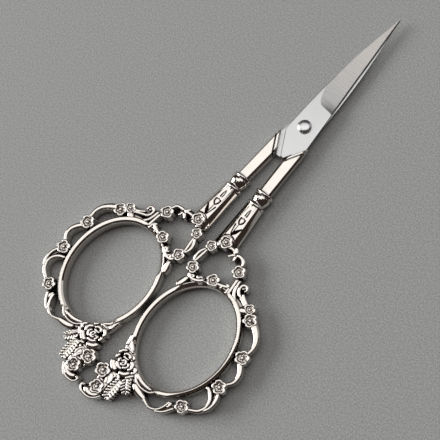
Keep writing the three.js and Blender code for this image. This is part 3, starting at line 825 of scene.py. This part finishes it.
def grinding():
    """What the wheel takes away: a face that falls to the cutting edge, and a honed strip along it."""
    rings = []
    for y in GRIND_HEIGHTS:
        x = edge_x(y) - GRIND_DEPTHS
        lean = GRIND_LEAN * (EDGE_OFFSET - x) + GRIND_CURL * np.clip(GRIND_CURL_X - x, 0, None) ** 2
        past = y - GRIND_START - np.clip(lean, 0, None)
        swept = 1 - (1 - np.clip(past / GRIND_RUN, 0, 1)) ** 2
        honed = np.minimum(GRIND_DEPTHS, HONED_WIDTH)
        ground = BLADE_BOTTOM + EDGE_THICKNESS + HONED_RISE * honed + GRIND_RISE * (GRIND_DEPTHS - honed)
        z = BLADE_TOP + (ground - BLADE_TOP) * swept + np.clip(-past, 0, GRIND_CLEAR)
        z = np.where(past > 0, z, np.maximum(z, BLADE_TOP + GRIND_SKIM))
        low = np.stack([x, np.full(len(x), y), z], 1)
        high = np.stack([x[::-1], np.full(len(x), y), np.full(len(x), GRIND_TOP)], 1)
        rings.append(np.concatenate([low, high]))
    return skin(rings, "grinding")


def bore():
    """The hole for the rivet."""
    return skin([circle(0, 0, RIVET_BORE, z, BORE_SIDES) for z in (-HALF, HALF)], "bore")


def rivet():
    """Domed head on the upper blade, flat peened tail under the lower blade."""
    tail = -BLADE_TOP - RIVET_END_PLAY
    seat = BLADE_TOP + RIVET_SEAT_GAP
    profile = [
        (RIVET_TAIL_RADIUS - RIVET_TAIL_CHAMFER, -HALF), (RIVET_TAIL_RADIUS, RIVET_TAIL_CHAMFER - HALF),
        (RIVET_TAIL_RADIUS, tail), (RIVET_RADIUS, tail), (RIVET_RADIUS, seat),
        (RIVET_HEAD_RADIUS - RIVET_HEAD_BREAK, seat), (RIVET_HEAD_RADIUS, seat + RIVET_HEAD_BREAK),
    ]
    rise = RIVET_HEAD_HEIGHT - RIVET_HEAD_RIM
    angles = np.linspace(0, DOME_SHARE, DOME_STEPS) * math.pi / 2
    for out, up in zip(*squared(angles, RIVET_HEAD_FULLNESS)):
        profile.append((RIVET_HEAD_RADIUS * out, BLADE_TOP + RIVET_HEAD_RIM + rise * up))
    return skin([circle(0, 0, radius, z, RIVET_SIDES) for radius, z in profile], "rivet")


# Materials

# Most of a noise lies between these values
NOISE_LOW = 0.3
NOISE_HIGH = 0.7


def material(name):
    """A new material with its nodes, links and shader."""
    made = bpy.data.materials.new(name)
    made.use_nodes = True
    nodes, links = made.node_tree.nodes, made.node_tree.links
    return made, nodes, links, nodes["Principled BSDF"]


def metal(name):
    """A new metallic material with its nodes, links and shader."""
    made, nodes, links, shader = material(name)
    shader.inputs["Metallic"].default_value = 1
    return made, nodes, links, shader


def noise(nodes, links, scale, detail, stretch=(1, 1, 1), turn=0.0):
    """A noise over the object's own coordinates, in metres, stretched and turned about Z."""
    place = nodes.new("ShaderNodeTexCoord")
    mapping = nodes.new("ShaderNodeMapping")
    mapping.inputs["Rotation"].default_value = (0, 0, turn)
    mapping.inputs["Scale"].default_value = stretch
    grain = nodes.new("ShaderNodeTexNoise")
    grain.inputs["Scale"].default_value = scale
    grain.inputs["Detail"].default_value = detail
    links.new(place.outputs["Object"], mapping.inputs["Vector"])
    links.new(mapping.outputs["Vector"], grain.inputs["Vector"])
    return grain.outputs["Fac"]


def ranged(nodes, links, value, low, high, start=NOISE_LOW, end=NOISE_HIGH):
    """The value from start to end mapped to a range from low to high."""
    mapped = nodes.new("ShaderNodeMapRange")
    mapped.inputs["From Min"].default_value = start
    mapped.inputs["From Max"].default_value = end
    mapped.inputs["To Min"].default_value = low
    mapped.inputs["To Max"].default_value = high
    links.new(value, mapped.inputs["Value"])
    return mapped.outputs["Result"]


def tinted(nodes, links, value, dark, light):
    """A colour from dark to light as a noise rises."""
    ramp = nodes.new("ShaderNodeValToRGB")
    ramp.color_ramp.elements[0].position = NOISE_LOW
    ramp.color_ramp.elements[0].color = (*dark, 1)
    ramp.color_ramp.elements[1].position = NOISE_HIGH
    ramp.color_ramp.elements[1].color = (*light, 1)
    links.new(value, ramp.inputs["Fac"])
    return ramp.outputs["Color"]


def paint(nodes, links, value, dark, light, shader):
    """Tint the shader's base colour from dark to light."""
    links.new(tinted(nodes, links, value, dark, light), shader.inputs["Base Color"])


def bumped(nodes, links, value, strength, distance, shader):
    """Bumps in the shader's surface, of a strength and a height in metres."""
    bump = nodes.new("ShaderNodeBump")
    bump.inputs["Strength"].default_value = strength
    bump.inputs["Distance"].default_value = distance
    links.new(value, bump.inputs["Height"])
    links.new(bump.outputs["Normal"], shader.inputs["Normal"])


# Patina and painted shade, darker where the ambient occlusion finds nearby surfaces, the floor too: how far a
# hollow is felt, in metres, the open shares where it is full and gone, and its colour
PATINA_AND_SHADE_REACH = 0.002
PATINA_AND_SHADE_START = 0.4
PATINA_AND_SHADE_END = 0.92
PATINA_AND_SHADE_COLOUR = (0.055, 0.03, 0.022)


def nickel_plate():
    """Bright plate over a casting: slightly warm, with soft waves, hazy patches, and patina with painted
    shade in the hollows and on walls near the floor.
    """
    made, nodes, links, shader = metal("nickel_plate")
    haze = noise(nodes, links, scale=350, detail=4)
    # Painted shade: ambient occlusion darkens the plate towards the patina colour in hollows and on walls
    # near the floor
    hollow = nodes.new("ShaderNodeAmbientOcclusion")
    hollow.inputs["Distance"].default_value = PATINA_AND_SHADE_REACH
    shade = nodes.new("ShaderNodeMixRGB")
    shade.inputs["Color1"].default_value = (*PATINA_AND_SHADE_COLOUR, 1)
    open_share = ranged(nodes, links, hollow.outputs["AO"], 0, 1, PATINA_AND_SHADE_START, PATINA_AND_SHADE_END)
    plate = tinted(nodes, links, haze, dark=(0.775, 0.73, 0.675), light=(0.83, 0.79, 0.74))
    links.new(open_share, shade.inputs["Fac"])
    links.new(plate, shade.inputs["Color2"])
    links.new(shade.outputs["Color"], shader.inputs["Base Color"])
    links.new(ranged(nodes, links, haze, low=0.05, high=0.11), shader.inputs["Roughness"])
    waves = noise(nodes, links, scale=700, detail=2)
    bumped(nodes, links, waves, strength=0.025, distance=0.00006, shader=shader)
    return made


def satin_steel():
    """The blade's plate: a fine satin with faint marks."""
    made, nodes, links, shader = metal("satin_steel")
    cloud = noise(nodes, links, scale=260, detail=5)
    paint(nodes, links, cloud, dark=(0.76, 0.765, 0.765), light=(0.84, 0.845, 0.845), shader=shader)
    links.new(ranged(nodes, links, cloud, low=0.32, high=0.4), shader.inputs["Roughness"])
    grain = noise(nodes, links, scale=6000, detail=3)
    bumped(nodes, links, grain, strength=0.1, distance=0.00003, shader=shader)
    return made


BRUSH_TURN = math.radians(6)


def brushed_steel():
    """The ground face: lines across the blade from the grinding wheel, warmer towards the tip."""
    made, nodes, links, shader = metal("brushed_steel")
    lines = noise(nodes, links, scale=140, detail=3, stretch=(1, 50, 1), turn=BRUSH_TURN)
    place = nodes.new("ShaderNodeTexCoord")
    split = nodes.new("ShaderNodeSeparateXYZ")
    links.new(place.outputs["Object"], split.inputs["Vector"])
    reach = nodes.new("ShaderNodeMapRange")
    reach.inputs["From Min"].default_value = GRIND_START * MM
    reach.inputs["From Max"].default_value = GRIND_WARM * MM
    links.new(split.outputs["Y"], reach.inputs["Value"])
    cool = tinted(nodes, links, lines, dark=(0.4, 0.4, 0.395), light=(0.7, 0.7, 0.695))
    warm = tinted(nodes, links, lines, dark=(0.60, 0.575, 0.55), light=(0.84, 0.81, 0.775))
    tint = nodes.new("ShaderNodeMixRGB")
    links.new(reach.outputs["Result"], tint.inputs["Fac"])
    links.new(cool, tint.inputs["Color1"])
    links.new(warm, tint.inputs["Color2"])
    links.new(tint.outputs["Color"], shader.inputs["Base Color"])
    links.new(ranged(nodes, links, lines, low=0.36, high=0.48), shader.inputs["Roughness"])
    bumped(nodes, links, lines, strength=0.15, distance=0.00004, shader=shader)
    return made


def honed_steel_painted_dark():
    """The honed strip along the cutting edge, and the sides of the blade, in dark steel whose darkness is
    painted shade.
    """
    made, nodes, links, shader = metal("honed_steel_painted_dark")
    lines = noise(nodes, links, scale=200, detail=3, stretch=(1, 30, 1), turn=BRUSH_TURN)
    # Painted shade: the strip and the sides are tinted very dark to stand for the dark line along the edge
    paint(nodes, links, lines, dark=(0.24, 0.24, 0.24), light=(0.32, 0.32, 0.315), shader=shader)
    links.new(ranged(nodes, links, lines, low=0.26, high=0.36), shader.inputs["Roughness"])
    bumped(nodes, links, lines, strength=0.1, distance=0.00002, shader=shader)
    return made


def polished_steel():
    """The rivet: polished, with a fine haze."""
    made, nodes, links, shader = metal("polished_steel")
    haze = noise(nodes, links, scale=1500, detail=4)
    paint(nodes, links, haze, dark=(0.74, 0.74, 0.75), light=(0.82, 0.82, 0.83), shader=shader)
    links.new(ranged(nodes, links, haze, low=0.24, high=0.32), shader.inputs["Roughness"])
    grain = noise(nodes, links, scale=5000, detail=2)
    bumped(nodes, links, grain, strength=0.05, distance=0.00002, shader=shader)
    return made


def paper():
    """Matt gray backing paper with a fine grain."""
    made, nodes, links, shader = material("paper")
    mottle = noise(nodes, links, scale=2600, detail=5)
    paint(nodes, links, mottle, dark=(0.385, 0.393, 0.389), light=(0.702, 0.714, 0.707), shader=shader)
    shader.inputs["Roughness"].default_value = 0.9
    shader.inputs["Specular IOR Level"].default_value = 0.2
    bumped(nodes, links, mottle, strength=0.1, distance=0.00005, shader=shader)
    return made


# Pieces

def piece(name, mesh, body, node, turned=False):
    """A finished piece on its body, in place of a CAD node."""
    made = bpy.data.objects.new(name, mesh)
    bpy.context.scene.collection.objects.link(made)
    if turned:
        lift = Matrix.Translation((0, 0, MIDDLE))
        made.matrix_world = lift @ Matrix.Rotation(math.pi, 4, "Y") @ lift.inverted()
    weighted = made.modifiers.new("flats", "WEIGHTED_NORMAL")
    weighted.keep_sharp = True
    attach(made, body)
    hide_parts(node)


def strokes(drawn, drop, breadth=1.0):
    """Strokes of one kind, each a little broader than drawn if asked."""
    return [stroke(points, np.multiply(widths, breadth), drop) for points, widths in drawn]


def handle_mesh():
    """One casting: bars, collar, ring and ornament joined, then engraved and hollowed for the tang."""
    shells = [shank(), collar(), socket(), ring()]
    shells += strokes(BASES, BASE_DROP)
    shells += strokes(BOUQUET_BASES, BOUQUET_DROP)
    shells += strokes(WREATH + SCALLOPS + RING_LEAVES + SCROLL, TWIG_DROP, TWIG_BREADTH)
    shells += strokes(TAIL_LEAVES, LEAF_DROP, LEAF_BREADTH)
    shells += strokes(ROSE, ROSE_DROP, ROSE_BREADTH)
    shells += [shell for leaf in SERRATED for shell in serrated(*leaf)]
    shells += [blossom(*place) for place in BLOSSOMS]
    shells += [bead(*place) for place in BEADS]
    casting = boolean(joined(shells), joined(grooves()), "DIFFERENCE")
    casting = boolean(casting, tang(TANG_CLEARANCE), "DIFFERENCE")
    mesh = finished(casting, "cast_handle")
    mesh.materials.clear()
    mesh.materials.append(nickel_plate())
    return mesh


# Places of the blade's materials, and the upward slopes that tell its faces apart
SATIN, BRUSHED, HONED_PAINTED_DARK = range(3)
BLADE_FACE = 0.5
BLADE_SIDE = 0.9
BLADE_FLAT = 0.9995


def sharpen_borders(mesh):
    """Mark the edges between two materials as sharp."""
    kinds = {}
    for face in mesh.polygons:
        for key in face.edge_keys:
            kinds.setdefault(key, set()).add(face.material_index)
    for edge in mesh.edges:
        if len(kinds[edge.key]) > 1:
            edge.use_edge_sharp = True


def blade_mesh():
    """The ground blade, with the satin, brushed and honed faces told apart by their slope; the honed faces
    and the sides take the steel painted dark as shade.
    """
    plate = boolean(blade_plate(), grinding(), "DIFFERENCE")
    plate = boolean(plate, bore(), "DIFFERENCE")
    plate = boolean(plate, tang(0), "UNION")
    mesh = finished(plate, "ground_blade", BLADE_SHARP_ANGLE)
    mesh.materials.clear()
    for finish in (satin_steel(), brushed_steel(), honed_steel_painted_dark()):
        mesh.materials.append(finish)
    for face in mesh.polygons:
        x, y = face.center.x / MM, face.center.y / MM
        up = face.normal.z
        # The honed strip and the blade's sides get the steel that is painted dark as shade
        if up > BLADE_FACE and y > GRIND_START and x > edge_x(y) - HONED_WIDTH:
            face.material_index = HONED_PAINTED_DARK
        elif abs(up) < BLADE_SIDE:
            face.material_index = HONED_PAINTED_DARK
        elif y > GRIND_START and BLADE_FACE < up < BLADE_FLAT:
            face.material_index = BRUSHED
        else:
            face.material_index = SATIN
    sharpen_borders(mesh)
    return mesh


def rivet_mesh():
    """The polished rivet."""
    mesh = finished(rivet(), "domed_rivet")
    mesh.materials.append(polished_steel())
    return mesh


casting = handle_mesh()
piece("cast_handle_right", casting, "right_half", "right_handle")
piece("cast_handle_left", casting, "left_half", "left_handle", turned=True)
ground = blade_mesh()
piece("ground_blade_upper", ground, "right_half", "upper_blade")
piece("ground_blade_lower", ground, "left_half", "lower_blade", turned=True)
piece("domed_rivet", rivet_mesh(), "right_half", "pivot_rivet")

# Floor
FLOOR_SIZE = 8.0
floor_mesh = new_mesh("floor", [
    (x * FLOOR_SIZE / 2, y * FLOOR_SIZE / 2, 0) for x, y in ((-1, -1), (1, -1), (1, 1), (-1, 1))
], [(0, 1, 2, 3)])
floor_mesh.materials.append(paper())
floor = bpy.data.objects.new("floor", floor_mesh)
bpy.context.scene.collection.objects.link(floor)

# Lights: a soft panel overhead, across the photograph, and a soft box at each end, in a dark room
LIGHT_TARGET = Vector((0, -0.024, 0))
LIGHT_DISTANCE = 2.0
LIGHT_TURN = math.radians(42)


def soft_light(name, tilt, swing, half_width, half_length, radiance):
    """A panel that faces the part: its angles in degrees seen from there, and a radiance where white is 1."""
    data = bpy.data.lights.new(name, "AREA")
    data.shape = "RECTANGLE"
    data.size = 2 * LIGHT_DISTANCE * math.tan(math.radians(half_length))
    data.size_y = 2 * LIGHT_DISTANCE * math.tan(math.radians(half_width))
    data.energy = radiance * math.pi * data.size * data.size_y
    made = bpy.data.objects.new(name, data)
    made.rotation_euler = (math.radians(tilt), math.radians(swing), LIGHT_TURN)
    facing = made.rotation_euler.to_matrix() @ Vector((0, 0, 1))
    made.location = LIGHT_TARGET + facing * LIGHT_DISTANCE
    bpy.context.scene.collection.objects.link(made)


soft_light("panel", tilt=-13, swing=0, half_width=17, half_length=31, radiance=1.2)
soft_light("left_box", tilt=-10, swing=-60, half_width=20, half_length=14, radiance=5.4)
soft_light("right_box", tilt=-25, swing=68, half_width=20, half_length=14, radiance=0.6)

ROOM_COLOUR = (0.035, 0.026, 0.021)
world = bpy.data.worlds.new("room")
world.use_nodes = True
world.node_tree.nodes["Background"].inputs["Color"].default_value = (*ROOM_COLOUR, 1)
bpy.context.scene.world = world

# Camera where the photograph was taken from: its place in millimetres, its back and its upward direction
CAMERA_PLACE = (70.539, -55.179, 221.971 + HALF)
CAMERA_BACK = (0.30495, -0.09462, 0.94766)
CAMERA_UP = (-0.60737, 0.74711, 0.27004)
FOCAL_PIXELS = 900
FRAME_PIXELS = 440
camera_data = bpy.data.cameras.new("camera")
camera_data.sensor_width = 36
camera_data.lens = camera_data.sensor_width * FOCAL_PIXELS / FRAME_PIXELS
camera_data.clip_start = 0.01
camera_data.clip_end = 50
camera = bpy.data.objects.new("camera", camera_data)
bpy.context.scene.collection.objects.link(camera)
camera_back = Vector(CAMERA_BACK).normalized()
camera_right = Vector(CAMERA_UP).cross(camera_back).normalized()
camera_up = camera_back.cross(camera_right)
camera_turn = Matrix((camera_right, camera_up, camera_back)).transposed().to_4x4()
camera.matrix_world = Matrix.Translation(Vector(CAMERA_PLACE) * MM) @ camera_turn
bpy.context.scene.camera = camera

bpy.context.scene.view_settings.view_transform = "Standard"
